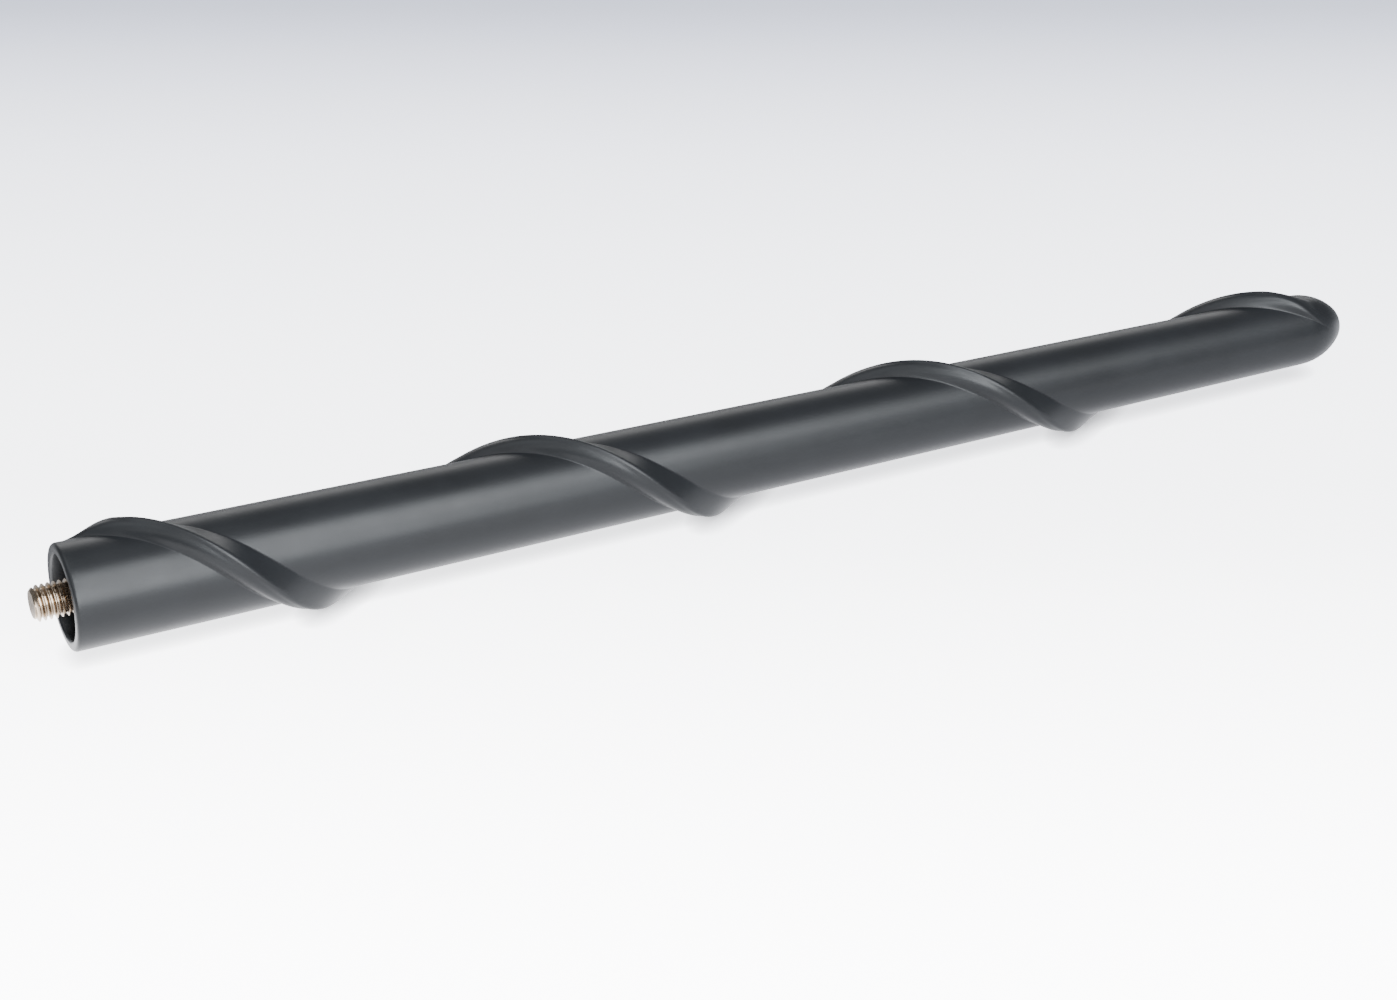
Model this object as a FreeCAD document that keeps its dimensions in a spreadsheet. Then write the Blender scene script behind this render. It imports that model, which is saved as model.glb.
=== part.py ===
import FreeCAD
import Part
import Sketcher
import math
import os

# Short screw-on car antenna mast, lying at rest.
# Each piece is drawn about its own local Z axis: z = 0 is the plane of the skirt's rim,
# +Z runs to the tip, and the screw thread stands out towards -Z.
# The placement then lays the mast down along +X with its tip towards +X.

doc = FreeCAD.newDocument("antenna_mast")
sheet = doc.addObject("Spreadsheet::Sheet", "dims")

CELLS = [
    # moulded jacket
    ("mast_length", 201.9, "skirt rim to tip"),
    ("base_radius", 7.5, "outside of the skirt at its rim"),
    ("tip_radius", 5.37, "outside of the body where the tip starts to round"),
    ("dome_length", 7.5, "axial length of the rounded tip"),
    ("nose_radius", 3.9, "small arc at the very tip"),
    ("shoulder_arc", 9.4, "large arc that joins it to the body"),
    ("nose_join_back", 1.266, "how far behind the tip they meet"),
    ("rim_round", 0.6, "rounding of the rim's outer edge"),
    ("skirt_bore_radius", 5.95, "inside of the hollow skirt"),
    ("skirt_depth", 8.0, "depth of the hollow"),
    ("skirt_chamfer", 0.3, "chamfer at the hollow's mouth"),
    # winding rib, profile measured in the plane through the axis
    ("rib_pitch", 59.25, "axial advance of one turn, right-handed"),
    ("rib_sway", 1.62, "the crest strays this far along the mast from an even winding"),
    ("rib_sway_deg", -8.0, "where about the axis it strays most, less a quarter turn"),
    ("rib_height", 2.0, "crest above the body"),
    ("rib_crest_radius", 1.03, "rounding of the crest"),
    ("rib_foot_base", 3.39, "crest to foot on the base side"),
    ("rib_foot_tip", 3.85, "crest to foot on the tip side"),
    ("rib_base_arc", 3.65, "side of the rib towards the base swells outwards"),
    ("rib_tip_arc", 21.5, "side of the rib towards the tip: sweeps in to the body"),
    ("rib_root", 1.5, "how deep the rib is rooted in the body"),
    ("rib_start", 8.0, "the winding starts this far before the rim and is cut back"),
    ("rib_overrun", 14.0, "and runs this far past the tip and is cut back"),
    ("rib_rise", 8.5, "length over which the rib rises to full height at the rim"),
    ("rib_fade", 15.0, "length over which the rib sinks into the tip"),
    ("rib_fade_radius", 18.0, "arc that the rib sinks along"),
    # turned fitting
    ("thread_radius", 2.5, "M5 thread, major diameter"),
    ("thread_out", 4.2, "thread past the skirt's rim"),
    ("thread_in", 5.0, "thread inside the skirt"),
    ("thread_lead", 0.6, "chamfer on the thread's end"),
    ("relief_radius", 1.9, "undercut behind the thread"),
    ("relief_end", 6.0, "undercut ends at the shoulder"),
    ("shoulder_radius", 4.0, "shoulder inside the skirt"),
    ("shank_radius", 3.4, "moulded-in body of the fitting"),
    ("shank_end", 22.0, "end of the moulded-in body"),
    ("groove_depth", 0.5, "retaining grooves of the body"),
    ("groove_width", 1.6, "width of each retaining groove"),
    ("groove_one", 11.0, "start of the first groove"),
    ("groove_two", 16.0, "start of the second groove"),
    ("socket_floor", 12.0, "floor of the core rod's socket"),
    # core and winding
    ("core_radius", 1.5, "glass-fibre core rod"),
    ("core_end", 188.0, "end of the core rod"),
    ("bore_radius", 2.15, "bore of the jacket round the winding"),
    ("bore_end", 189.0, "end of that bore"),
    ("wire_radius", 0.3, "enamelled copper wire"),
    ("wire_path_radius", 1.825, "centre line of the winding"),
    ("wire_pitch", 5.0, "axial advance of one turn of wire"),
    ("wire_start", 22.3, "first turn of wire"),
    ("wire_end", 185.0, "last turn of wire"),
    # how it lies
    ("roll_deg", -67.88, "turn about its own axis"),
    ("rest_x", 0.01, "shift that centres the mast on the origin"),
    ("rest_y", 0.153, "shift that centres the mast on the origin"),
]
value = {}
for row, (alias, number, note) in enumerate(CELLS, start=1):
    sheet.set("A%d" % row, note)
    sheet.set("B%d" % row, repr(number))
    sheet.setAlias("B%d" % row, alias)
    value[alias] = number
doc.recompute()
v = value
# the small arc of the tip is centred on the axis
nose_join = math.sqrt(v["nose_radius"] ** 2 - (v["nose_radius"] - v["nose_join_back"]) ** 2)
NOSE_JOIN = "sqrt(dims.nose_radius ^ 2 - (dims.nose_radius - dims.nose_join_back) ^ 2)"

taper = math.atan((v["base_radius"] - v["tip_radius"]) / (v["mast_length"] - v["dome_length"]))
slope = math.tan(taper)


def plane(body, role):
    for feature in body.Origin.OriginFeatures:
        if feature.Role == role:
            return feature
    raise ValueError(role)


def new_body(name, label):
    body = doc.addObject("PartDesign::Body", name)
    body.Label = label
    return body


def new_sketch(body, name):
    sketch = body.newObject("Sketcher::SketchObject", name)
    sketch.AttachmentSupport = [(plane(body, "XZ_Plane"), "")]
    sketch.MapMode = "FlatFace"
    return sketch


def outline(sketch, points, arcs):
    """Closed outline in (radius, height). points: (r, r_expression, z, z_expression);
    arcs: {side index: (radius, radius_expression, "in" or "out")}; side i runs from point i to i+1,
    and "out" bulges to the right of the direction of travel."""
    n = len(points)
    for i in range(n):
        r1, z1 = points[i][0], points[i][2]
        r2, z2 = points[(i + 1) % n][0], points[(i + 1) % n][2]
        if i in arcs:
            radius, _, side = arcs[i]
            mx, mz = (r1 + r2) / 2, (z1 + z2) / 2
            dx, dz = r2 - r1, z2 - z1
            half = math.hypot(dx, dz) / 2
            if radius < half:
                raise ValueError("arc %d of %s is too small" % (i, sketch.Name))
            back = math.sqrt(radius * radius - half * half)
            nx, nz = dz / (2 * half), -dx / (2 * half)
            sign = -1 if side == "out" else 1
            cx, cz = mx + sign * nx * back, mz + sign * nz * back
            a1 = math.atan2(z1 - cz, r1 - cx)
            a2 = math.atan2(z2 - cz, r2 - cx)
            circle = Part.Circle(FreeCAD.Vector(cx, cz, 0), FreeCAD.Vector(0, 0, 1), radius)
            if side == "out":
                while a2 < a1:
                    a2 += 2 * math.pi
                sketch.addGeometry(Part.ArcOfCircle(circle, a1, a2), False)
            else:
                while a1 < a2:
                    a1 += 2 * math.pi
                sketch.addGeometry(Part.ArcOfCircle(circle, a2, a1), False)
        else:
            sketch.addGeometry(
                Part.LineSegment(FreeCAD.Vector(r1, z1, 0), FreeCAD.Vector(r2, z2, 0)), False)

    def start_of(i):
        return 2 if (i in arcs and arcs[i][2] == "in") else 1

    def end_of(i):
        return 1 if (i in arcs and arcs[i][2] == "in") else 2

    for i in range(n):
        j = (i + 1) % n
        sketch.addConstraint(Sketcher.Constraint("Coincident", i, end_of(i), j, start_of(j)))
    for i, (r, r_expr, z, z_expr) in enumerate(points):
        point = start_of(i)
        if abs(r) < 1e-9 and abs(z) < 1e-9:
            sketch.addConstraint(Sketcher.Constraint("Coincident", i, point, -1, 1))
            continue
        if abs(r) < 1e-9:
            sketch.addConstraint(Sketcher.Constraint("PointOnObject", i, point, -2))
        else:
            k = sketch.addConstraint(Sketcher.Constraint("DistanceX", -1, 1, i, point, r))
            if r_expr:
                sketch.setExpression("Constraints[%d]" % k, r_expr)
        if abs(z) < 1e-9:
            sketch.addConstraint(Sketcher.Constraint("PointOnObject", i, point, -1))
        else:
            k = sketch.addConstraint(Sketcher.Constraint("DistanceY", -1, 1, i, point, z))
            if z_expr:
                sketch.setExpression("Constraints[%d]" % k, z_expr)
    for i, (radius, expr, side) in arcs.items():
        k = sketch.addConstraint(Sketcher.Constraint("Radius", i, radius))
        if expr:
            sketch.setExpression("Constraints[%d]" % k, expr)


def revolve(body, name, sketch, kind="PartDesign::Revolution"):
    feature = body.newObject(kind, name)
    feature.Profile = (sketch, [""])
    feature.ReferenceAxis = (plane(body, "Z_Axis"), [""])
    feature.Angle = 360
    doc.recompute()
    return feature


def wind(body, name, sketch, pitch, height, angle, angle_expr=None):
    feature = body.newObject("PartDesign::AdditiveHelix", name)
    feature.Profile = (sketch, [""])
    feature.ReferenceAxis = (plane(body, "Z_Axis"), [""])
    feature.Mode = "pitch-height-angle"
    feature.setExpression("Pitch", pitch)
    feature.setExpression("Height", height)
    feature.Angle = angle
    if angle_expr:
        feature.setExpression("Angle", angle_expr)
    feature.LeftHanded = False
    doc.recompute()
    return feature


# ---------------------------------------------------------------- jacket
jacket = new_body("Jacket", "jacket")

L = v["mast_length"]
R0 = v["base_radius"]
R1 = v["tip_radius"]


def body_radius(z):
    return R0 - slope * z


BODY_R = ("(dims.base_radius - (dims.base_radius - dims.tip_radius)"
          " / (dims.mast_length - dims.dome_length) * (%s))")

# Section of the rib in the plane through the axis, as (height above the body, distance along
# the mast from the crest): it swells out on the side towards the base, has a small round
# crest, and sweeps in to the body on the side towards the tip.
rc = v["rib_crest_radius"]
hh = v["rib_height"]
fb = v["rib_foot_base"]
ft = v["rib_foot_tip"]
root = v["rib_root"]
rib_points = [
    (-root, -fb - 0.45),
    (-0.45, -fb - 0.30),
    (hh - 0.29 * rc, -0.65 * rc),
    (hh - 0.31 * rc, 0.78 * rc),
    (-0.12, ft + 0.70),
    (-root, ft + 0.90),
]
rib_arcs = {1: (v["rib_base_arc"], 1), 2: (rc, 1), 3: (v["rib_tip_arc"], -1)}


def arc_poles(p, q, radius, side):
    """Poles and weights of the arc from p to q; side 1 bulges right of the travel, -1 left."""
    dx, dz = q[0] - p[0], q[1] - p[1]
    half = math.hypot(dx, dz) / 2
    if radius < half:
        raise ValueError("rib arc too small")
    back = math.sqrt(radius * radius - half * half)
    lift = half * half / back
    nx, nz = dz / (2 * half), -dx / (2 * half)
    mid = ((p[0] + q[0]) / 2 + side * nx * lift, (p[1] + q[1]) / 2 + side * nz * lift)
    return [p, mid, q], [1.0, back / radius, 1.0]


def crest_z(turn):
    """Where the crest lies along the mast at the angle turn (radians) about the axis."""
    sway = v["rib_sway"] * math.sin(turn + math.radians(v["rib_sway_deg"]))
    return v["rib_pitch"] * turn / (2 * math.pi) + sway


def rib_place(turn, point):
    z = crest_z(turn)
    r = body_radius(z) + point[0]
    return FreeCAD.Vector(r * math.cos(turn), r * math.sin(turn), z + point[1])


def rib_solid():
    """The section carried along the winding, one spline face for each side of the section."""
    first = -2 * math.pi * v["rib_start"] / v["rib_pitch"]
    last = 2 * math.pi * (L + v["rib_overrun"]) / v["rib_pitch"]
    steps = int(math.ceil((last - first) / math.radians(10)))
    turns = [first + (last - first) * i / steps for i in range(steps + 1)]

    def track(point):
        curve = Part.BSplineCurve()
        curve.interpolate(Points=[rib_place(t, point) for t in turns], Parameters=turns)
        return curve

    faces = []
    ends = ([], [])
    for i, p in enumerate(rib_points):
        q = rib_points[(i + 1) % len(rib_points)]
        if i in rib_arcs:
            poles, weights = arc_poles(p, q, *rib_arcs[i])
        else:
            poles, weights = [p, q], [1.0, 1.0]
        tracks = [track(point) for point in poles]
        degree = len(poles) - 1
        columns = [t.getPoles() for t in tracks]
        grid = [[column[k] for column in columns] for k in range(len(columns[0]))]
        surface = Part.BSplineSurface()
        surface.buildFromPolesMultsKnots(
            grid, tracks[0].getMultiplicities(), [degree + 1, degree + 1],
            tracks[0].getKnots(), [0.0, 1.0], False, False, tracks[0].Degree, degree,
            [weights] * len(grid))
        faces.append(surface.toShape())
        for end, turn in zip(ends, (turns[0], turns[-1])):
            spots = [rib_place(turn, point) for point in poles]
            if degree == 1:
                end.append(Part.makeLine(spots[0], spots[1]))
            else:
                curve = Part.BSplineCurve()
                curve.buildFromPolesMultsKnots(
                    spots, [degree + 1, degree + 1], [0.0, 1.0], False, degree, weights)
                end.append(curve.toShape())
    for end in ends:
        faces.append(Part.Face(Part.Wire(end)))
    shell = Part.makeShell(faces)
    shell.sewShape(1e-5)
    solid = Part.makeSolid(shell)
    if solid.Volume < 0:
        solid.reverse()
    if not solid.isValid() or not solid.isClosed():
        raise SystemExit("the winding rib is not a closed solid")
    return solid


rib = doc.addObject("Part::Feature", "RibWinding")
rib.Shape = rib_solid()
jacket.BaseFeature = rib
doc.recompute()
whole_rib = rib.Shape.Volume

# the winding is cut back: it rises out of the body behind the rim and sinks into the tip
crest = R0 + hh + 0.3
CREST = BODY_R + " + dims.rib_height + 0.3"
zf = L - v["rib_fade"]
trim_points = [
    (1.0, "1.0", -v["rib_start"] - 10.0, "-dims.rib_start - 10"),
    (16.0, "16.0", -v["rib_start"] - 10.0, "-dims.rib_start - 10"),
    (16.0, "16.0", L + v["rib_overrun"] + 12.0, "dims.mast_length + dims.rib_overrun + 12"),
    (1.0, "1.0", L + v["rib_overrun"] + 12.0, "dims.mast_length + dims.rib_overrun + 12"),
    (1.0, "1.0", L - 1.0, "dims.mast_length - 1"),
    (crest - slope * zf, CREST % "dims.mast_length - dims.rib_fade", zf,
     "dims.mast_length - dims.rib_fade"),
    (crest - slope * v["rib_rise"], CREST % "dims.rib_rise", v["rib_rise"], "dims.rib_rise"),
    (R0 - 0.8, "dims.base_radius - 0.8", 0.3, "0.3"),
    (1.0, "1.0", 0.3, "0.3"),
]
trim_sketch = new_sketch(jacket, "RibEnds")
outline(trim_sketch, trim_points, {4: (v["rib_fade_radius"], "dims.rib_fade_radius", "in")})
doc.recompute()
trim = revolve(jacket, "RibEndsCut", trim_sketch, "PartDesign::Groove")
cut_rib = trim.Shape.Volume

# tapered body with its rounded rim and tip
core_points = [
    (0.0, None, 0.0, None),
    (R0 - v["rim_round"], "dims.base_radius - dims.rim_round", 0.0, None),
    (R0, "dims.base_radius", v["rim_round"], "dims.rim_round"),
    (R1, "dims.tip_radius", L - v["dome_length"], "dims.mast_length - dims.dome_length"),
    (nose_join, NOSE_JOIN, L - v["nose_join_back"],
     "dims.mast_length - dims.nose_join_back"),
    (0.0, None, L, "dims.mast_length"),
]
core_sketch = new_sketch(jacket, "BodySection")
outline(core_sketch, core_points, {
    1: (v["rim_round"], "dims.rim_round", "out"),
    3: (v["shoulder_arc"], "dims.shoulder_arc", "out"),
    4: (v["nose_radius"], "dims.nose_radius", "out"),
})
doc.recompute()
solid = revolve(jacket, "TaperedBody", core_sketch)
with_body = solid.Shape.Volume

# hollow skirt, seat moulded round the metal shank, and the bore round the winding
rb = v["skirt_bore_radius"]
ch = v["skirt_chamfer"]
sr = v["shank_radius"]
gd = v["groove_depth"]
gw = v["groove_width"]


def shank_side():
    """Outline of the metal shank between the hollow's floor and its far end."""
    side = [(sr, "dims.shank_radius", v["skirt_depth"], "dims.skirt_depth")]
    for alias in ("groove_one", "groove_two"):
        g = v[alias]
        side += [
            (sr, "dims.shank_radius", g, "dims." + alias),
            (sr - gd, "dims.shank_radius - dims.groove_depth", g, "dims." + alias),
            (sr - gd, "dims.shank_radius - dims.groove_depth", g + gw,
             "dims.%s + dims.groove_width" % alias),
            (sr, "dims.shank_radius", g + gw, "dims.%s + dims.groove_width" % alias),
        ]
    side.append((sr, "dims.shank_radius", v["shank_end"], "dims.shank_end"))
    return side


hollow_points = [
    (0.0, None, -1.0, "-1"),
    (rb + ch + 1.0, "dims.skirt_bore_radius + dims.skirt_chamfer + 1", -1.0, "-1"),
    (rb, "dims.skirt_bore_radius", ch, "dims.skirt_chamfer"),
    (rb, "dims.skirt_bore_radius", v["skirt_depth"], "dims.skirt_depth"),
] + shank_side() + [
    (v["bore_radius"], "dims.bore_radius", v["shank_end"], "dims.shank_end"),
    (v["bore_radius"], "dims.bore_radius", v["bore_end"], "dims.bore_end"),
    (0.0, None, v["bore_end"], "dims.bore_end"),
]
hollow_sketch = new_sketch(jacket, "HollowSection")
outline(hollow_sketch, hollow_points, {})
doc.recompute()
hollow = revolve(jacket, "Hollow", hollow_sketch, "PartDesign::Groove")
jacket.Tip = hollow
doc.recompute()
print("rib %.1f, cut back %.1f, with body %.1f, hollowed %.1f mm3"
      % (whole_rib, cut_rib, with_body, hollow.Shape.Volume))
if not (cut_rib < whole_rib - 50 and with_body > cut_rib + 1000
        and hollow.Shape.Volume < with_body - 1000):
    raise SystemExit("a cut or a join of the jacket changed nothing")

# ---------------------------------------------------------------- turned fitting
fitting = new_body("Fitting", "threaded_fitting")
tr = v["thread_radius"]
ur = v["relief_radius"]
fitting_points = [
    (0.0, None, -v["thread_out"], "-dims.thread_out"),
    (tr - v["thread_lead"], "dims.thread_radius - dims.thread_lead",
     -v["thread_out"], "-dims.thread_out"),
    (tr, "dims.thread_radius", -v["thread_out"] + v["thread_lead"],
     "-dims.thread_out + dims.thread_lead"),
    (tr, "dims.thread_radius", v["thread_in"], "dims.thread_in"),
    (ur, "dims.relief_radius", v["thread_in"] + 0.4, "dims.thread_in + 0.4"),
    (ur, "dims.relief_radius", v["relief_end"], "dims.relief_end"),
    (v["shoulder_radius"], "dims.shoulder_radius", v["relief_end"], "dims.relief_end"),
    (v["shoulder_radius"], "dims.shoulder_radius", v["skirt_depth"], "dims.skirt_depth"),
] + shank_side() + [
    (v["core_radius"], "dims.core_radius", v["shank_end"], "dims.shank_end"),
    (v["core_radius"], "dims.core_radius", v["socket_floor"], "dims.socket_floor"),
    (0.0, None, v["socket_floor"], "dims.socket_floor"),
]
fitting_sketch = new_sketch(fitting, "FittingSection")
outline(fitting_sketch, fitting_points, {})
doc.recompute()
fitting.Tip = revolve(fitting, "FittingTurned", fitting_sketch)

# ---------------------------------------------------------------- core rod
core = new_body("Core", "core_rod")
cr = v["core_radius"]
rod_points = [
    (0.0, None, v["socket_floor"], "dims.socket_floor"),
    (cr, "dims.core_radius", v["socket_floor"], "dims.socket_floor"),
    (cr, "dims.core_radius", v["core_end"] - 0.4, "dims.core_end - 0.4"),
    (cr - 0.4, "dims.core_radius - 0.4", v["core_end"], "dims.core_end"),
    (0.0, None, v["core_end"], "dims.core_end"),
]
rod_sketch = new_sketch(core, "RodSection")
outline(rod_sketch, rod_points, {})
doc.recompute()
core.Tip = revolve(core, "Rod", rod_sketch)

# ---------------------------------------------------------------- wound wire
wire = new_body("Wire", "antenna_wire")
wire_sketch = new_sketch(wire, "WireSection")
wire_sketch.addGeometry(Part.Circle(
    FreeCAD.Vector(v["wire_path_radius"], v["wire_start"], 0), FreeCAD.Vector(0, 0, 1),
    v["wire_radius"]), False)
k = wire_sketch.addConstraint(
    Sketcher.Constraint("DistanceX", -1, 1, 0, 3, v["wire_path_radius"]))
wire_sketch.setExpression("Constraints[%d]" % k, "dims.wire_path_radius")
k = wire_sketch.addConstraint(Sketcher.Constraint("DistanceY", -1, 1, 0, 3, v["wire_start"]))
wire_sketch.setExpression("Constraints[%d]" % k, "dims.wire_start")
k = wire_sketch.addConstraint(Sketcher.Constraint("Radius", 0, v["wire_radius"]))
wire_sketch.setExpression("Constraints[%d]" % k, "dims.wire_radius")
doc.recompute()
wire.Tip = wind(wire, "Winding", wire_sketch, "dims.wire_pitch",
                "dims.wire_end - dims.wire_start", 0)

# ---------------------------------------------------------------- laid down at rest
# The rib's crests touch the ground along one line, so the axis falls by the taper
# towards the tip. Local X is turned by the roll, local Z runs along the mast.
# The crest's true top is the top of its small arc.
dh, dz = rib_points[3][0] - rib_points[2][0], rib_points[3][1] - rib_points[2][1]
half_chord = math.hypot(dh, dz) / 2
crest_top = (rib_points[2][0] + rib_points[3][0]) / 2 + rc - dz / (2 * half_chord) * math.sqrt(
    rc * rc - half_chord * half_chord)
up = FreeCAD.Vector(math.sin(taper), 0, math.cos(taper))
near = FreeCAD.Vector(0, -1, 0)
along = FreeCAD.Vector(math.cos(taper), 0, -math.sin(taper))
lay = FreeCAD.Rotation(up, near, along, "ZXY")
roll = FreeCAD.Rotation(FreeCAD.Vector(0, 0, 1), v["roll_deg"])
height = (R0 + crest_top) * math.cos(taper)
half = 0.5 * (L - v["thread_out"]) * math.cos(taper)
place = FreeCAD.Placement(
    FreeCAD.Vector(-half + v["rest_x"], v["rest_y"], height), lay.multiply(roll))
bodies = [jacket, fitting, core, wire]
for body in bodies:
    body.Placement = place
doc.recompute()

for item in doc.Objects:
    bad = [s for s in item.State if s in ("Invalid", "Error")]
    if bad:
        raise SystemExit("%s: %s" % (item.Name, bad))
os.makedirs("parts", exist_ok=True)
for body in bodies:
    shape = body.Shape
    if shape.isNull() or not shape.isValid() or len(shape.Solids) != 1:
        raise SystemExit("%s: null, not valid, or %d solids" % (body.Label, len(shape.Solids)))
    shape.exportStep(os.path.join("parts", body.Label + ".step"))
    print("%-18s %9.1f mm3, %d faces" % (body.Label, shape.Volume, len(shape.Faces)))
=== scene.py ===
import math

import bpy
import numpy as np
from mathutils import Matrix, Vector


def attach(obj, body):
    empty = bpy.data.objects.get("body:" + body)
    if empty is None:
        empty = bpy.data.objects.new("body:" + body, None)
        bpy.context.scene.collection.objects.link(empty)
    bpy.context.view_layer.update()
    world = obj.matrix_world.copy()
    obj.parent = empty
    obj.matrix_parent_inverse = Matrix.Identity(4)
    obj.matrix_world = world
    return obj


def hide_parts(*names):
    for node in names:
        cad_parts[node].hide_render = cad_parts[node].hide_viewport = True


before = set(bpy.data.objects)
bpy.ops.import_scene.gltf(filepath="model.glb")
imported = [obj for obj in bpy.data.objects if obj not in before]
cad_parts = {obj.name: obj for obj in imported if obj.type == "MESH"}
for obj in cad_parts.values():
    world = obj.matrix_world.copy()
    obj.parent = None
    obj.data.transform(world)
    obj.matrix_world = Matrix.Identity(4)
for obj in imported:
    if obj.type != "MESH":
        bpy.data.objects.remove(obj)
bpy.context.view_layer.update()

# ------------------------------------------------------------------ light levels
WORLD = 0.22
# strength of the ground's painted glow as the lens sees it
GLOW_LENS = 11.2
# reach of the painted contact shadow on the ground
CONTACT_SHADOW_REACH = 0.0028
# strength of the ground's painted glow in reflections, at the rod's base and at its tip
REFLECTED_GLOW_BASE = 7.6
REFLECTED_GLOW_TIP = 4.6
# span and colours of the painted falloff of the ground's glow away from the lens
GLOW_NEAR = -0.86
GLOW_FAR = -0.50
GLOW = [(0.05, (0.995, 0.995, 1.01, 1)), (0.138, (0.833, 0.833, 0.85, 1)),
        (0.212, (0.708, 0.708, 0.726, 1)), (0.294, (0.547, 0.551, 0.567, 1)),
        (0.339, (0.467, 0.471, 0.487, 1)), (0.386, (0.429, 0.433, 0.452, 1)),
        (0.489, (0.392, 0.397, 0.419, 1)), (0.606, (0.289, 0.296, 0.321, 1)),
        (0.67, (0.257, 0.263, 0.292, 1)), (0.739, (0.194, 0.200, 0.230, 1)),
        (0.814, (0.118, 0.124, 0.153, 1)), (0.88, (0.058, 0.064, 0.088, 1)),
        (1.0, (0.014, 0.017, 0.030, 1))]

# ------------------------------------------------------------------ sizes, in millimetres
# The same numbers as the part's source: local z runs from the skirt's rim to the tip.
L = 201.9
R0 = 7.5
R1 = 5.37
DOME = 7.5
NOSE_R = 3.9
NOSE_BACK = 1.266
SHOULDER = 9.4
RIM_ROUND = 0.6
SKIRT_R = 5.95
SKIRT_DEPTH = 8.0
SKIRT_CHAMFER = 0.3
PITCH = 59.25
SWAY = 1.62
SWAY_DEG = -8.0
HH = 2.0
RC = 1.03
FOOT_BASE = 3.39
FOOT_TIP = 3.85
BASE_ARC = 3.65
TIP_ARC = 21.5
RIB_RISE = 8.5
RIB_FADE = 15.0
RIB_FADE_R = 18.0
CREST_SOFT = 0.30
NEAR_FILL = 0.62
FAR_FILL = 0.09
THREAD_OUT = 4.2
THREAD_IN = 5.0
THREAD_R = 2.5
THREAD_LEAD = 0.6
RELIEF_R = 1.9
RELIEF_END = 6.0
THREAD_PITCH = 0.8
THREAD_ROOT = 2.01
FIT_SHOULDER_R = 4.0
SHANK_R = 3.4
SHANK_END = 22.0
GROOVES = (11.0, 16.0)
GROOVE_R = 2.9
GROOVE_WIDTH = 1.6
SOCKET_R = 1.5
SOCKET_FLOOR = 12.0
BORE_R = 2.15
BORE_END = 189.0
ROLL = math.radians(-67.88)
REST_X = 0.01
REST_Y = 0.153

TAPER = math.atan((R0 - R1) / (L - DOME))
SLOPE = math.tan(TAPER)
_dh, _dz = -0.02 * RC, 1.43 * RC
_hc = math.hypot(_dh, _dz) / 2
CREST_TOP = HH - 0.30 * RC + RC - _dz / (2 * _hc) * math.sqrt(RC * RC - _hc * _hc)
BASE = np.array([-0.5 * (L - THREAD_OUT) * math.cos(TAPER) + REST_X, REST_Y,
                 (R0 + CREST_TOP) * math.cos(TAPER)])
UP = np.array([math.sin(TAPER), 0.0, math.cos(TAPER)])
NEAR = np.array([0.0, -1.0, 0.0])
ALONG = np.array([math.cos(TAPER), 0.0, -math.sin(TAPER)])


def to_row(r, turn, z):
    """Local (radius, angle, height) in mm to the row frame in metres."""
    r, turn, z = np.broadcast_arrays(np.asarray(r, float), np.asarray(turn, float),
                                     np.asarray(z, float))
    a = turn + ROLL
    p = (BASE + np.multiply.outer(r * np.cos(a), UP) + np.multiply.outer(r * np.sin(a), NEAR)
         + np.multiply.outer(z, ALONG))
    return p / 1000.0


# ------------------------------------------------------------------ the jacket's outer skin
def arc_points(p, q, radius, side, n):
    """Points of an arc in (height, z) from p to q; side 1 bulges right of the travel, -1 left."""
    dx, dz = q[0] - p[0], q[1] - p[1]
    half = math.hypot(dx, dz) / 2
    back = math.sqrt(radius * radius - half * half)
    nx, nz = dz / (2 * half), -dx / (2 * half)
    cx = (p[0] + q[0]) / 2 - side * nx * back
    cz = (p[1] + q[1]) / 2 - side * nz * back
    a1 = math.atan2(p[1] - cz, p[0] - cx)
    a2 = math.atan2(q[1] - cz, q[0] - cx)
    if side > 0 and a2 < a1:
        a2 += 2 * math.pi
    if side < 0 and a1 < a2:
        a1 += 2 * math.pi
    return [(cx + radius * math.cos(a1 + (a2 - a1) * k / n),
             cz + radius * math.sin(a1 + (a2 - a1) * k / n)) for k in range(n + 1)]


_b = (-0.45, -FOOT_BASE - 0.30)
_c1 = (HH - 0.29 * RC, -0.65 * RC)
_c2 = (HH - 0.31 * RC, 0.78 * RC)
_d = (-0.12, FOOT_TIP + 0.70)
_prof = (arc_points(_b, _c1, BASE_ARC, 1, 60) + arc_points(_c1, _c2, RC, 1, 40)[1:]
         + arc_points(_c2, _d, TIP_ARC, -1, 60)[1:])
_ph = np.array([p[0] for p in _prof])
_pz = np.array([p[1] for p in _prof])


def soften(z, h, sigma):
    """The section resampled finely and softened, so that its edges are moulded, not sharp."""
    fine = np.arange(z[0] - 3.0, z[-1] + 3.0, 0.02)
    slope0 = (h[3] - h[0]) / (z[3] - z[0])
    slope1 = (h[-1] - h[-4]) / (z[-1] - z[-4])
    raw = np.interp(fine, z, h)
    raw = np.where(fine < z[0], h[0] + (fine - z[0]) * slope0, raw)
    raw = np.where(fine > z[-1], h[-1] + (fine - z[-1]) * slope1, raw)
    reach = int(4 * sigma / 0.02)
    w = np.exp(-0.5 * (np.arange(-reach, reach + 1) * 0.02 / sigma) ** 2)
    soft = np.convolve(np.pad(raw, reach, mode="edge"), w / w.sum(), mode="valid")
    keep = (fine > z[0] - 1.0) & (fine < z[-1] + 1.0)
    return fine[keep], soft[keep]


PROF_Z, PROF_H = soften(_pz, _ph, CREST_SOFT)


def rib_height(s):
    """Height of the rib's section above the body, s mm towards the tip from the crest."""
    return np.interp(s, PROF_Z, PROF_H, left=-1.0, right=-1.0)


def crest_z(turn):
    return PITCH * turn / (2 * math.pi) + SWAY * np.sin(turn + math.radians(SWAY_DEG))


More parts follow.
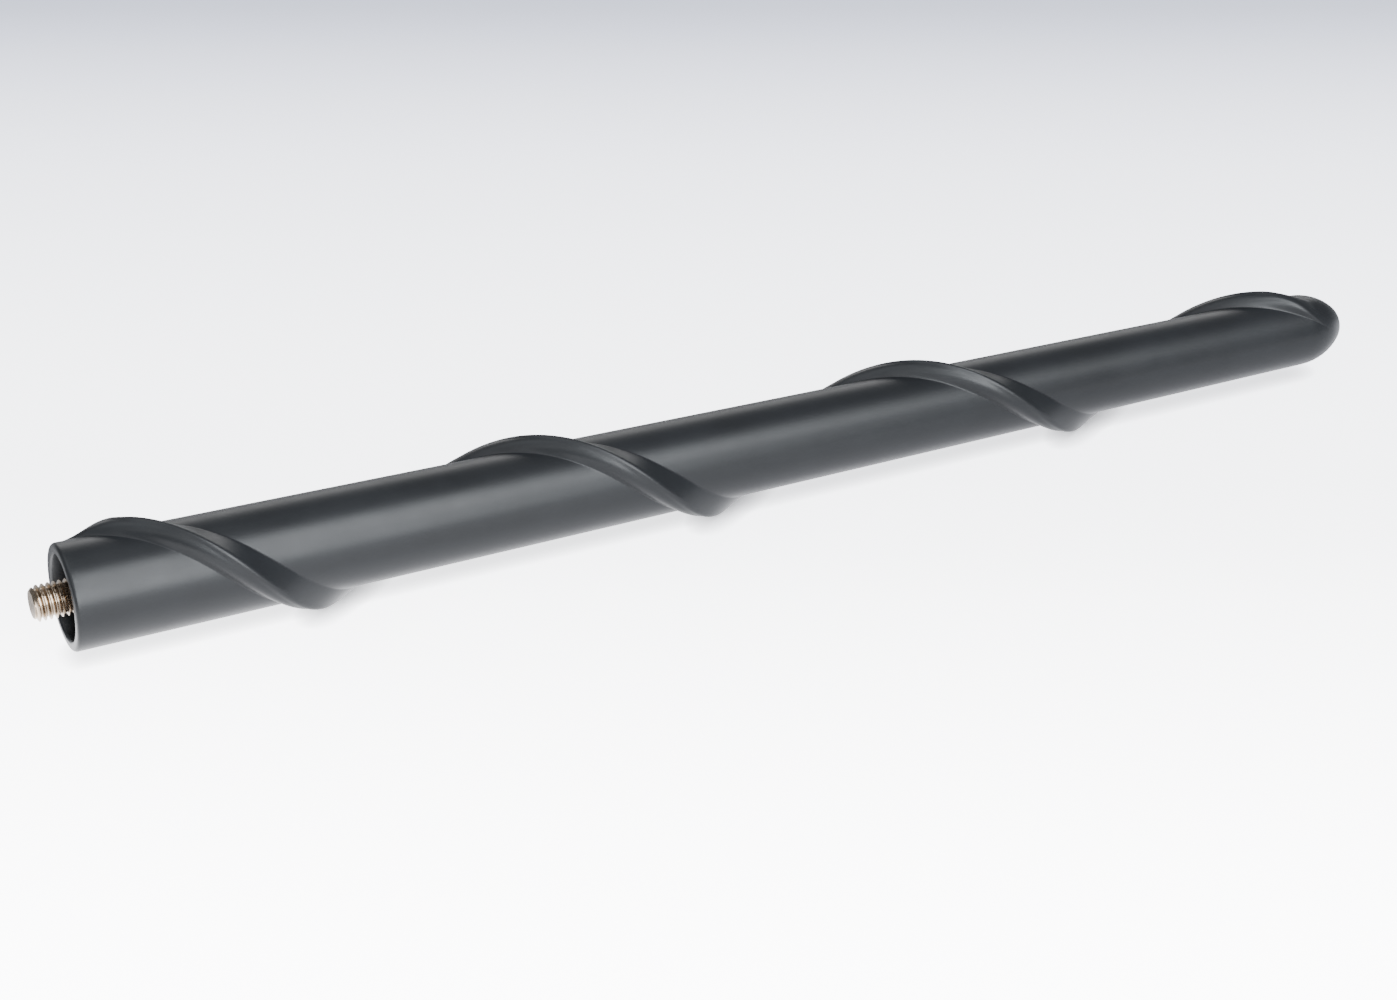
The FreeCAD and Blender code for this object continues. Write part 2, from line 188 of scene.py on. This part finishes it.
def envelope(z):
    """What the rib is cut back to: it rises behind the rim and sinks into the tip."""
    crest = R0 + HH + 0.3
    zf = L - RIB_FADE
    rise = (R0 - 0.8) + (crest - SLOPE * RIB_RISE - (R0 - 0.8)) * (z - 0.3) / (RIB_RISE - 0.3)
    # arc from (1, L-1) to (crest - slope zf, zf), bulging away from the axis
    p = np.array([1.0, L - 1.0])
    q = np.array([crest - SLOPE * zf, zf])
    d = q - p
    half = np.hypot(*d) / 2
    n = np.array([d[1], -d[0]]) / (2 * half)
    centre = (p + q) / 2 + n * math.sqrt(RIB_FADE_R ** 2 - half ** 2)
    if centre[0] > p[0]:
        centre = (p + q) / 2 - n * math.sqrt(RIB_FADE_R ** 2 - half ** 2)
    fade = centre[0] + np.sqrt(np.clip(RIB_FADE_R ** 2 - (z - centre[1]) ** 2, 0.0, None))
    return np.where(z < RIB_RISE, rise, np.where(z > zf, fade, crest - SLOPE * z))


NOSE_JOIN = math.sqrt(NOSE_R ** 2 - (NOSE_R - NOSE_BACK) ** 2)
_p = np.array([R1, L - DOME])
_q = np.array([NOSE_JOIN, L - NOSE_BACK])
_e = _q - _p
_h = np.hypot(*_e) / 2
_n = np.array([_e[1], -_e[0]]) / (2 * _h)
SHOULDER_C = (_p + _q) / 2 - _n * math.sqrt(SHOULDER ** 2 - _h ** 2)


def body_r(z):
    """Radius of the tapered body with its rounded tip, for z up to where the nose starts."""
    dome = SHOULDER_C[0] + np.sqrt(np.clip(SHOULDER ** 2 - (z - SHOULDER_C[1]) ** 2, 0.0, None))
    return np.where(z > L - DOME, dome, R0 - SLOPE * z)


def blend(a, b, k):
    """Larger of a and b with the crease between them filled to about the radius k."""
    h = np.clip(0.5 + 0.5 * (a - b) / k, 0.0, 1.0)
    return b * (1 - h) + a * h + k * h * (1 - h)


def skin_r(z, turn):
    """Radius of the moulded skin."""
    body = body_r(z)
    near = np.round((z - crest_z(turn)) / PITCH)
    best = np.full(np.broadcast(z, turn).shape, -10.0)
    side = np.zeros(best.shape)
    for k in (-1, 0, 1):
        t = turn + 2 * math.pi * (near + k)
        s = z - crest_z(t)
        h = rib_height(s)
        side = np.where(h > best, s, side)
        best = np.maximum(best, h)
    # rounded where the rib is cut back near the rim and near the tip
    ease = 0.02 + 0.75 * np.maximum(np.clip((13.0 - z) / 3.0, 0.0, 1.0),
                                    np.clip((z - (L - RIB_FADE)) / 4.0, 0.0, 1.0))
    rib = -blend(-(R0 - SLOPE * z + best), -envelope(z), ease)
    rib = np.where(best > -0.9, rib, body - 3.0)
    return blend(rib, body, np.where(side < 0.0, NEAR_FILL, FAR_FILL))


COLS = 176
Z_FIRST = RIM_ROUND
Z_LAST = L - NOSE_BACK


def row_offsets():
    """Offsets of the winding rows from the crest, close together on the rib."""
    s = [0.0]
    marks = []
    lo, hi = -PITCH / 2, PITCH / 2
    x = lo
    while x < hi - 1e-6:
        marks.append(x)
        d = abs(x + FOOT_BASE + 0.12)
        e = abs(x - FOOT_TIP - 0.35)
        if -FOOT_BASE - 1.0 < x < FOOT_TIP + 1.2:
            step = 0.20
            if d < 0.7:
                step = 0.09
            elif -1.2 < x < 1.4:
                step = 0.12
            elif e < 0.5:
                step = 0.10
        else:
            gap = (-FOOT_BASE - 1.0 - x) if x < 0 else (x - FOOT_TIP - 1.2)
            step = min(0.25 + 0.25 * abs(gap), 1.3)
        x += step
    return np.array(marks)


def wound_grid(offs, pitch, track, radius, cols, turns_of, z_first, z_last):
    """A closed tube of quads whose rows follow a winding, with a plain ring at each end."""
    turns = 2 * math.pi * np.arange(cols) / cols
    # at column j a row lies at track(turn_j) + offset + k * pitch
    rows = np.concatenate([offs + pitch * k for k in turns_of])
    z = np.clip(track(turns)[None, :] + rows[:, None], z_first, z_last)
    # a row that reaches the last column goes on as the row one pitch further on
    m = len(offs)
    n_rows = len(rows)
    verts = to_row(radius(z, turns[None, :]), turns[None, :], z).reshape(-1, 3)
    index = np.arange(n_rows * cols).reshape(n_rows, cols)
    zz = z.reshape(-1)
    # the clamped ends are merged into one ring each
    ring_lo = len(verts) + np.arange(cols)
    ring_hi = ring_lo[-1] + 1 + np.arange(cols)
    verts = np.vstack([verts, to_row(radius(np.full(cols, z_first), turns), turns, z_first),
                       to_row(radius(np.full(cols, z_last), turns), turns, z_last)])
    remap = np.arange(len(verts))
    flat_col = np.tile(np.arange(cols), n_rows)
    lo = np.where(zz <= z_first + 1e-9)[0]
    hi = np.where(zz >= z_last - 1e-9)[0]
    remap[lo] = ring_lo[flat_col[lo]]
    remap[hi] = ring_hi[flat_col[hi]]
    # the column after the last one is the first one, m rows further up
    first = np.concatenate([index[m:, 0], np.full(m, ring_hi[0])])
    faces = []
    for i in range(n_rows - 1):
        for j in range(cols):
            if j + 1 < cols:
                quad = [index[i, j], index[i, j + 1], index[i + 1, j + 1], index[i + 1, j]]
            else:
                quad = [index[i, j], first[i], first[i + 1], index[i + 1, j]]
            keep = []
            for q in quad:
                q = int(remap[q])
                if q not in keep:
                    keep.append(q)
            if len(keep) >= 3:
                faces.append(keep)
    return verts, faces, [int(x) for x in ring_lo], [int(x) for x in ring_hi], turns


class Shell:
    """Vertices and faces of one closed piece, grown ring by ring about the axis."""

    def __init__(self, grid):
        verts, self.faces, self.ring_lo, self.ring_hi, self.turns = grid
        self.verts = list(map(tuple, verts))
        self.cols = len(self.turns)

    def ring(self, r, z):
        start = len(self.verts)
        self.verts.extend(map(tuple, to_row(np.full(self.cols, r), self.turns, z)))
        return list(range(start, start + self.cols))

    def bridge(self, a, b):
        for j in range(self.cols):
            k = (j + 1) % self.cols
            self.faces.append([a[j], a[k], b[k], b[j]])

    def grow(self, last, outline, forward=True):
        """Rings through the outline's points; forward when they lie beyond the last ring."""
        for r, z in outline:
            ring = self.ring(r, z)
            if forward:
                self.bridge(last, ring)
            else:
                self.bridge(ring, last)
            last = ring
        return last

    def close(self, last, z, forward=True):
        apex = len(self.verts)
        self.verts.append(tuple(to_row(0.0, 0.0, z)))
        for j in range(self.cols):
            k = (j + 1) % self.cols
            self.faces.append([last[j], last[k], apex] if forward else [last[k], last[j], apex])


def jacket_shell():
    shell = Shell(wound_grid(row_offsets(), PITCH, crest_z, skin_r, COLS, range(-2, 5),
                             Z_FIRST, Z_LAST))
    # nose: rings on the small sphere, then the apex
    a0 = math.acos((NOSE_R - NOSE_BACK) / NOSE_R)
    nose = [(NOSE_R * math.sin(a0 * (1 - i / 9)), L - NOSE_R + NOSE_R * math.cos(a0 * (1 - i / 9)))
            for i in range(1, 9)]
    shell.close(shell.grow(shell.ring_hi, nose), L)
    # rim: rounded outer edge, flat face, soft inner edge, the hollow and its floor
    inner = []
    for i in range(1, 7):
        a = math.radians(90 * i / 6)
        inner.append((R0 - RIM_ROUND + RIM_ROUND * math.cos(a), RIM_ROUND - RIM_ROUND * math.sin(a)))
    inner += [(R0 - RIM_ROUND - 0.10, 0.0), (SKIRT_R + SKIRT_CHAMFER + 0.10, 0.0),
              (SKIRT_R + SKIRT_CHAMFER, 0.015), (SKIRT_R + 0.05, SKIRT_CHAMFER - 0.05),
              (SKIRT_R, SKIRT_CHAMFER + 0.08), (SKIRT_R, 2.5), (SKIRT_R, 5.0),
              (SKIRT_R, SKIRT_DEPTH - 0.35), (SKIRT_R - 0.10, SKIRT_DEPTH - 0.10),
              (SKIRT_R - 0.35, SKIRT_DEPTH), (4.4, SKIRT_DEPTH), (FIT_SHOULDER_R - 0.3, SKIRT_DEPTH)]
    # inside, a plain bore, so that the piece is one closed shell
    inner += [(SHANK_R, SKIRT_DEPTH + 0.02), (SHANK_R, SHANK_END), (BORE_R, SHANK_END),
              (BORE_R, 105.0), (BORE_R, BORE_END)]
    shell.close(shell.grow(shell.ring_lo, inner, False), BORE_END, False)
    return shell


# ------------------------------------------------------------------ the turned fitting
def thread_track(turn):
    return THREAD_PITCH * turn / (2 * math.pi)


def thread_r(z, turn):
    """Radius of the cut thread with its lead chamfer and its run-out into the undercut."""
    s = z - thread_track(turn)
    s = np.abs(s - THREAD_PITCH * np.round(s / THREAD_PITCH))
    form = np.interp(s, [0.05, 0.30], [THREAD_R, THREAD_ROOT])
    lead = THREAD_R - THREAD_LEAD + np.clip(z + THREAD_OUT, 0.0, 3.0)
    out = THREAD_R - 1.5 * np.clip(z - THREAD_IN, 0.0, 0.4)
    return np.minimum(np.minimum(form, lead), out)


def fitting_shell():
    offs = np.array([-0.40, -0.305, -0.27, -0.17, -0.075, -0.04, 0.04, 0.075, 0.17, 0.27, 0.305])
    shell = Shell(wound_grid(offs, THREAD_PITCH, thread_track, thread_r, 72, range(-8, 9),
                             -THREAD_OUT, THREAD_IN + 0.4))
    shell.close(shell.grow(shell.ring_lo, [(1.2, -THREAD_OUT), (0.5, -THREAD_OUT)], False),
                -THREAD_OUT, False)
    sh = FIT_SHOULDER_R
    side = [(RELIEF_R, RELIEF_END), (sh - 0.12, RELIEF_END), (sh, RELIEF_END + 0.12),
            (sh, SKIRT_DEPTH), (SHANK_R, SKIRT_DEPTH)]
    for g in GROOVES:
        side += [(SHANK_R, g), (GROOVE_R, g), (GROOVE_R, g + GROOVE_WIDTH),
                 (SHANK_R, g + GROOVE_WIDTH)]
    side += [(SHANK_R, SHANK_END), (SOCKET_R, SHANK_END), (SOCKET_R, SOCKET_FLOOR)]
    shell.close(shell.grow(shell.ring_hi, side), SOCKET_FLOOR)
    return shell


def mesh_object(name, shell, sharp_deg=None):
    mesh = bpy.data.meshes.new(name)
    mesh.from_pydata([tuple(map(float, v)) for v in shell.verts], [], shell.faces)
    mesh.validate()
    import bmesh
    bm = bmesh.new()
    bm.from_mesh(mesh)
    loose = [v for v in bm.verts if not v.link_faces]
    bmesh.ops.delete(bm, geom=loose, context="VERTS")
    bmesh.ops.recalc_face_normals(bm, faces=bm.faces)
    for f in bm.faces:
        f.smooth = True
    bm.to_mesh(mesh)
    bm.free()
    if sharp_deg:
        mesh.set_sharp_from_angle(angle=math.radians(sharp_deg))
    obj = bpy.data.objects.new(name, mesh)
    bpy.context.scene.collection.objects.link(obj)
    return obj


# ------------------------------------------------------------------ materials
def new_material(name):
    mat = bpy.data.materials.new(name)
    mat.use_nodes = True
    nodes = mat.node_tree.nodes
    nodes.clear()
    out = nodes.new("ShaderNodeOutputMaterial")
    bsdf = nodes.new("ShaderNodeBsdfPrincipled")
    mat.node_tree.links.new(bsdf.outputs["BSDF"], out.inputs["Surface"])
    return mat, mat.node_tree, bsdf


def node(tree, kind, **values):
    n = tree.nodes.new(kind)
    for key, val in values.items():
        if hasattr(n, key):
            setattr(n, key, val)
        else:
            n.inputs[key].default_value = val
    return n


def ramp(tree, source, stops):
    r = tree.nodes.new("ShaderNodeValToRGB")
    els = r.color_ramp.elements
    while len(els) > 1:
        els.remove(els[-1])
    els[0].position, els[0].color = stops[0][0], stops[0][1]
    for pos, col in stops[1:]:
        e = els.new(pos)
        e.color = col
    tree.links.new(source, r.inputs["Fac"])
    return r


def grey(x, a=1.0):
    return (x, x, x, a)


def jacket_material():
    mat, tree, bsdf = new_material("moulded_black")
    link = tree.links.new
    coords = node(tree, "ShaderNodeTexCoord")
    # colour: near-black with a faint cool cast and cloudy variation from the moulding
    cloud = node(tree, "ShaderNodeTexNoise", Scale=95.0, Detail=4.0, Roughness=0.55)
    link(coords.outputs["Object"], cloud.inputs["Vector"])
    tone = ramp(tree, cloud.outputs["Fac"], [(0.30, (0.0105, 0.0116, 0.0135, 1)),
                                             (0.72, (0.0150, 0.0165, 0.0190, 1))])
    link(tone.outputs["Color"], bsdf.inputs["Base Color"])
    # roughness: satin, a little more polished in patches
    patch = node(tree, "ShaderNodeTexNoise", Scale=240.0, Detail=5.0, Roughness=0.6)
    link(coords.outputs["Object"], patch.inputs["Vector"])
    rough = ramp(tree, patch.outputs["Fac"], [(0.25, grey(0.35)), (0.75, grey(0.41))])
    link(rough.outputs["Color"], bsdf.inputs["Roughness"])
    # bump: fine moulded grain
    grain = node(tree, "ShaderNodeTexNoise", Scale=5200.0, Detail=3.0, Roughness=0.6)
    link(coords.outputs["Object"], grain.inputs["Vector"])
    bump = node(tree, "ShaderNodeBump", Strength=0.25, Distance=0.00003)
    link(grain.outputs["Fac"], bump.inputs["Height"])
    link(bump.outputs["Normal"], bsdf.inputs["Normal"])
    bsdf.inputs["IOR"].default_value = 1.5
    return mat


def metal_material():
    mat, tree, bsdf = new_material("nickel_plate")
    link = tree.links.new
    coords = node(tree, "ShaderNodeTexCoord")
    noise = node(tree, "ShaderNodeTexNoise", Scale=900.0, Detail=4.0, Roughness=0.6)
    link(coords.outputs["Object"], noise.inputs["Vector"])
    tone = ramp(tree, noise.outputs["Fac"], [(0.3, (0.36, 0.285, 0.21, 1)),
                                             (0.7, (0.56, 0.46, 0.36, 1))])
    link(tone.outputs["Color"], bsdf.inputs["Base Color"])
    rough = ramp(tree, noise.outputs["Fac"], [(0.3, grey(0.20)), (0.7, grey(0.34))])
    link(rough.outputs["Color"], bsdf.inputs["Roughness"])
    bump = node(tree, "ShaderNodeBump", Strength=0.3, Distance=0.00002)
    link(noise.outputs["Fac"], bump.inputs["Height"])
    link(bump.outputs["Normal"], bsdf.inputs["Normal"])
    bsdf.inputs["Metallic"].default_value = 1.0
    return mat


def fibre_material():
    """Pultruded glass fibre: pale and waxy, with fine strands along the rod."""
    mat, tree, bsdf = new_material("glass_fibre")
    link = tree.links.new
    coords = node(tree, "ShaderNodeTexCoord")
    stretch = node(tree, "ShaderNodeMapping", Scale=(60.0, 6000.0, 6000.0))
    link(coords.outputs["Object"], stretch.inputs["Vector"])
    strands = node(tree, "ShaderNodeTexNoise", Scale=1.0, Detail=3.0, Roughness=0.6)
    link(stretch.outputs["Vector"], strands.inputs["Vector"])
    tone = ramp(tree, strands.outputs["Fac"], [(0.3, (0.62, 0.56, 0.36, 1)),
                                               (0.7, (0.80, 0.76, 0.58, 1))])
    link(tone.outputs["Color"], bsdf.inputs["Base Color"])
    rough = ramp(tree, strands.outputs["Fac"], [(0.3, grey(0.42)), (0.7, grey(0.55))])
    link(rough.outputs["Color"], bsdf.inputs["Roughness"])
    bump = node(tree, "ShaderNodeBump", Strength=0.3, Distance=0.00003)
    link(strands.outputs["Fac"], bump.inputs["Height"])
    link(bump.outputs["Normal"], bsdf.inputs["Normal"])
    return mat


def copper_material():
    """Enamelled copper wire, drawn smooth, with slight changes in the enamel's tint."""
    mat, tree, bsdf = new_material("enamelled_copper")
    link = tree.links.new
    coords = node(tree, "ShaderNodeTexCoord")
    tint = node(tree, "ShaderNodeTexNoise", Scale=420.0, Detail=4.0, Roughness=0.55)
    link(coords.outputs["Object"], tint.inputs["Vector"])
    tone = ramp(tree, tint.outputs["Fac"], [(0.3, (0.52, 0.20, 0.085, 1)),
                                            (0.7, (0.72, 0.33, 0.16, 1))])
    link(tone.outputs["Color"], bsdf.inputs["Base Color"])
    rough = ramp(tree, tint.outputs["Fac"], [(0.3, grey(0.22)), (0.7, grey(0.32))])
    link(rough.outputs["Color"], bsdf.inputs["Roughness"])
    bump = node(tree, "ShaderNodeBump", Strength=0.2, Distance=0.00001)
    link(tint.outputs["Fac"], bump.inputs["Height"])
    link(bump.outputs["Normal"], bsdf.inputs["Normal"])
    bsdf.inputs["Metallic"].default_value = 1.0
    bsdf.inputs["Coat Weight"].default_value = 0.8
    return mat


def floor_material():
    """White ground that glows with painted light: brighter near the lens and fading away from it, as
    a lit sweep looks, and less bright in reflections; a painted contact shadow darkens it near the
    rod.
    """
    mat, tree, bsdf = new_material("white_ground")
    link = tree.links.new
    coords = node(tree, "ShaderNodeTexCoord")
    noise = node(tree, "ShaderNodeTexNoise", Scale=14.0, Detail=3.0)
    link(coords.outputs["Object"], noise.inputs["Vector"])
    tone = ramp(tree, noise.outputs["Fac"], [(0.3, (0.54, 0.54, 0.55, 1)),
                                             (0.7, (0.56, 0.56, 0.57, 1))])
    link(tone.outputs["Color"], bsdf.inputs["Base Color"])
    bsdf.inputs["Roughness"].default_value = 0.8
    bsdf.inputs["Specular IOR Level"].default_value = 0.1
    # distance along the floor away from the front, in metres
    dist = node(tree, "ShaderNodeVectorMath", operation="DOT_PRODUCT")
    link(coords.outputs["Object"], dist.inputs[0])
    dist.inputs[1].default_value = (0.41511, 0.90977, 0.0)
    span = node(tree, "ShaderNodeMapRange")
    link(dist.outputs["Value"], span.inputs["Value"])
    span.inputs["From Min"].default_value = GLOW_NEAR
    span.inputs["From Max"].default_value = GLOW_FAR
    # painted falloff of the ground's glow away from the lens
    fall = ramp(tree, span.outputs["Result"], GLOW)
    fall.color_ramp.interpolation = "B_SPLINE"
    path = node(tree, "ShaderNodeLightPath")
    # painted light in reflections: the ground's glow there is dimmer, and dimmer still towards the
    # rod's tip
    place = node(tree, "ShaderNodeSeparateXYZ")
    link(coords.outputs["Object"], place.inputs["Vector"])
    reflected_glow = node(tree, "ShaderNodeMapRange")
    link(place.outputs["X"], reflected_glow.inputs["Value"])
    reflected_glow.inputs["From Min"].default_value = -0.10
    reflected_glow.inputs["From Max"].default_value = 0.12
    reflected_glow.inputs["To Min"].default_value = REFLECTED_GLOW_BASE
    reflected_glow.inputs["To Max"].default_value = REFLECTED_GLOW_TIP
    # and this painted glow is brightest right under the rod, where the rod's underside reflects it
    across = node(tree, "ShaderNodeMapRange")
    link(place.outputs["Y"], across.inputs["Value"])
    across.inputs["From Min"].default_value = -0.824
    across.inputs["From Max"].default_value = -0.764
    glow_under_rod = ramp(tree, across.outputs["Result"], [(0.0, grey(0.20)), (0.30, grey(0.38)),
                                                  (0.42, grey(1.0)), (0.52, grey(0.90)),
                                                  (0.64, grey(0.04))])
    under = node(tree, "ShaderNodeMath", operation="MULTIPLY")
    link(reflected_glow.outputs["Result"], under.inputs[0])
    link(glow_under_rod.outputs["Color"], under.inputs[1])
    gain = node(tree, "ShaderNodeMix", data_type="FLOAT")
    link(path.outputs["Is Camera Ray"], gain.inputs["Factor"])
    link(under.outputs["Value"], gain.inputs["A"])
    # painted contact shadow: the ground's glow darkens softly where the rod comes close to it
    painted_contact_shadow = node(tree, "ShaderNodeAmbientOcclusion", samples=8, Distance=CONTACT_SHADOW_REACH)
    shadow_depth = node(tree, "ShaderNodeMath", operation="POWER")
    link(painted_contact_shadow.outputs["AO"], shadow_depth.inputs[0])
    shadow_depth.inputs[1].default_value = 1.5
    lens = node(tree, "ShaderNodeMath", operation="MULTIPLY")
    link(shadow_depth.outputs["Value"], lens.inputs[0])
    lens.inputs[1].default_value = GLOW_LENS
    link(lens.outputs["Value"], gain.inputs["B"])
    link(fall.outputs["Color"], bsdf.inputs["Emission Color"])
    link(gain.outputs["Result"], bsdf.inputs["Emission Strength"])
    return mat


# ------------------------------------------------------------------ pieces
jacket = mesh_object("moulded_jacket", jacket_shell())
jacket.data.materials.append(jacket_material())
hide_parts("jacket")
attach(jacket, "root")

fitting = mesh_object("cut_thread_fitting", fitting_shell(), 28.0)
fitting.data.materials.append(metal_material())
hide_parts("threaded_fitting")
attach(fitting, "root")

for name, material in (("core_rod", fibre_material()), ("antenna_wire", copper_material())):
    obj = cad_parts[name]
    obj.data.materials.clear()
    obj.data.materials.append(material)

# ------------------------------------------------------------------ ground
bpy.ops.mesh.primitive_plane_add(size=6.0, location=(0.0, 0.8, 0.0))
ground = bpy.context.object
ground.name = "ground"
ground.data.materials.append(floor_material())

# ------------------------------------------------------------------ camera
cam_data = bpy.data.cameras.new("camera")
cam = bpy.data.objects.new("camera", cam_data)
bpy.context.scene.collection.objects.link(cam)
cam_data.sensor_fit = "HORIZONTAL"
cam_data.sensor_width = 36.0
cam_data.lens = 3469.168 / 1397.0 * 36.0
cam_data.clip_start = 0.05
cam_data.clip_end = 50.0
right = Vector((0.9097719, -0.4151085, 0.0)).normalized()
forward = Vector((0.3572485, 0.7829631, -0.5092565)).normalized()
up = right.cross(forward).normalized()
rot = Matrix((right, up, -forward)).transposed()
base = Vector((float(BASE[0]), float(BASE[1]), float(BASE[2])))
cam.matrix_world = Matrix.Translation(
    (base + Vector((-85.4777, -392.3018, 247.4072))) / 1000.0) @ rot.to_4x4()
bpy.context.scene.camera = cam

# ------------------------------------------------------------------ light
world = bpy.data.worlds.new("studio")
bpy.context.scene.world = world
world.use_nodes = True
world.node_tree.nodes["Background"].inputs["Color"].default_value = (0.90, 0.95, 1.0, 1)
world.node_tree.nodes["Background"].inputs["Strength"].default_value = WORLD


def softbox(name, place, size_x, size_y, radiance, colour=(1, 1, 1)):
    """A rectangular soft light that faces the object, given by how bright its face is."""
    light = bpy.data.lights.new(name, "AREA")
    light.shape = "RECTANGLE"
    light.size = size_x
    light.size_y = size_y
    light.energy = radiance * math.pi * size_x * size_y
    light.color = colour
    obj = bpy.data.objects.new(name, light)
    obj.location = place
    obj.rotation_euler = (-Vector(place)).to_track_quat("-Z", "Y").to_euler()
    bpy.context.scene.collection.objects.link(obj)
    return obj


COOL = (0.93, 0.965, 1.0)
softbox("front low", (0.000, -0.822, 0.366), 0.48, 0.45, 11.0, COOL)
softbox("front high", (0.172, -0.500, 0.728), 0.45, 0.52, 8.7, COOL)
softbox("overhead", (-0.35, 0.25, 1.10), 0.90, 0.90, 1.15, COOL)
softbox("left", (-0.72, -0.50, 0.85), 0.60, 0.60, 1.2)
softbox("behind", (0.39, 1.073, 0.37), 1.40, 0.45, 1.9)
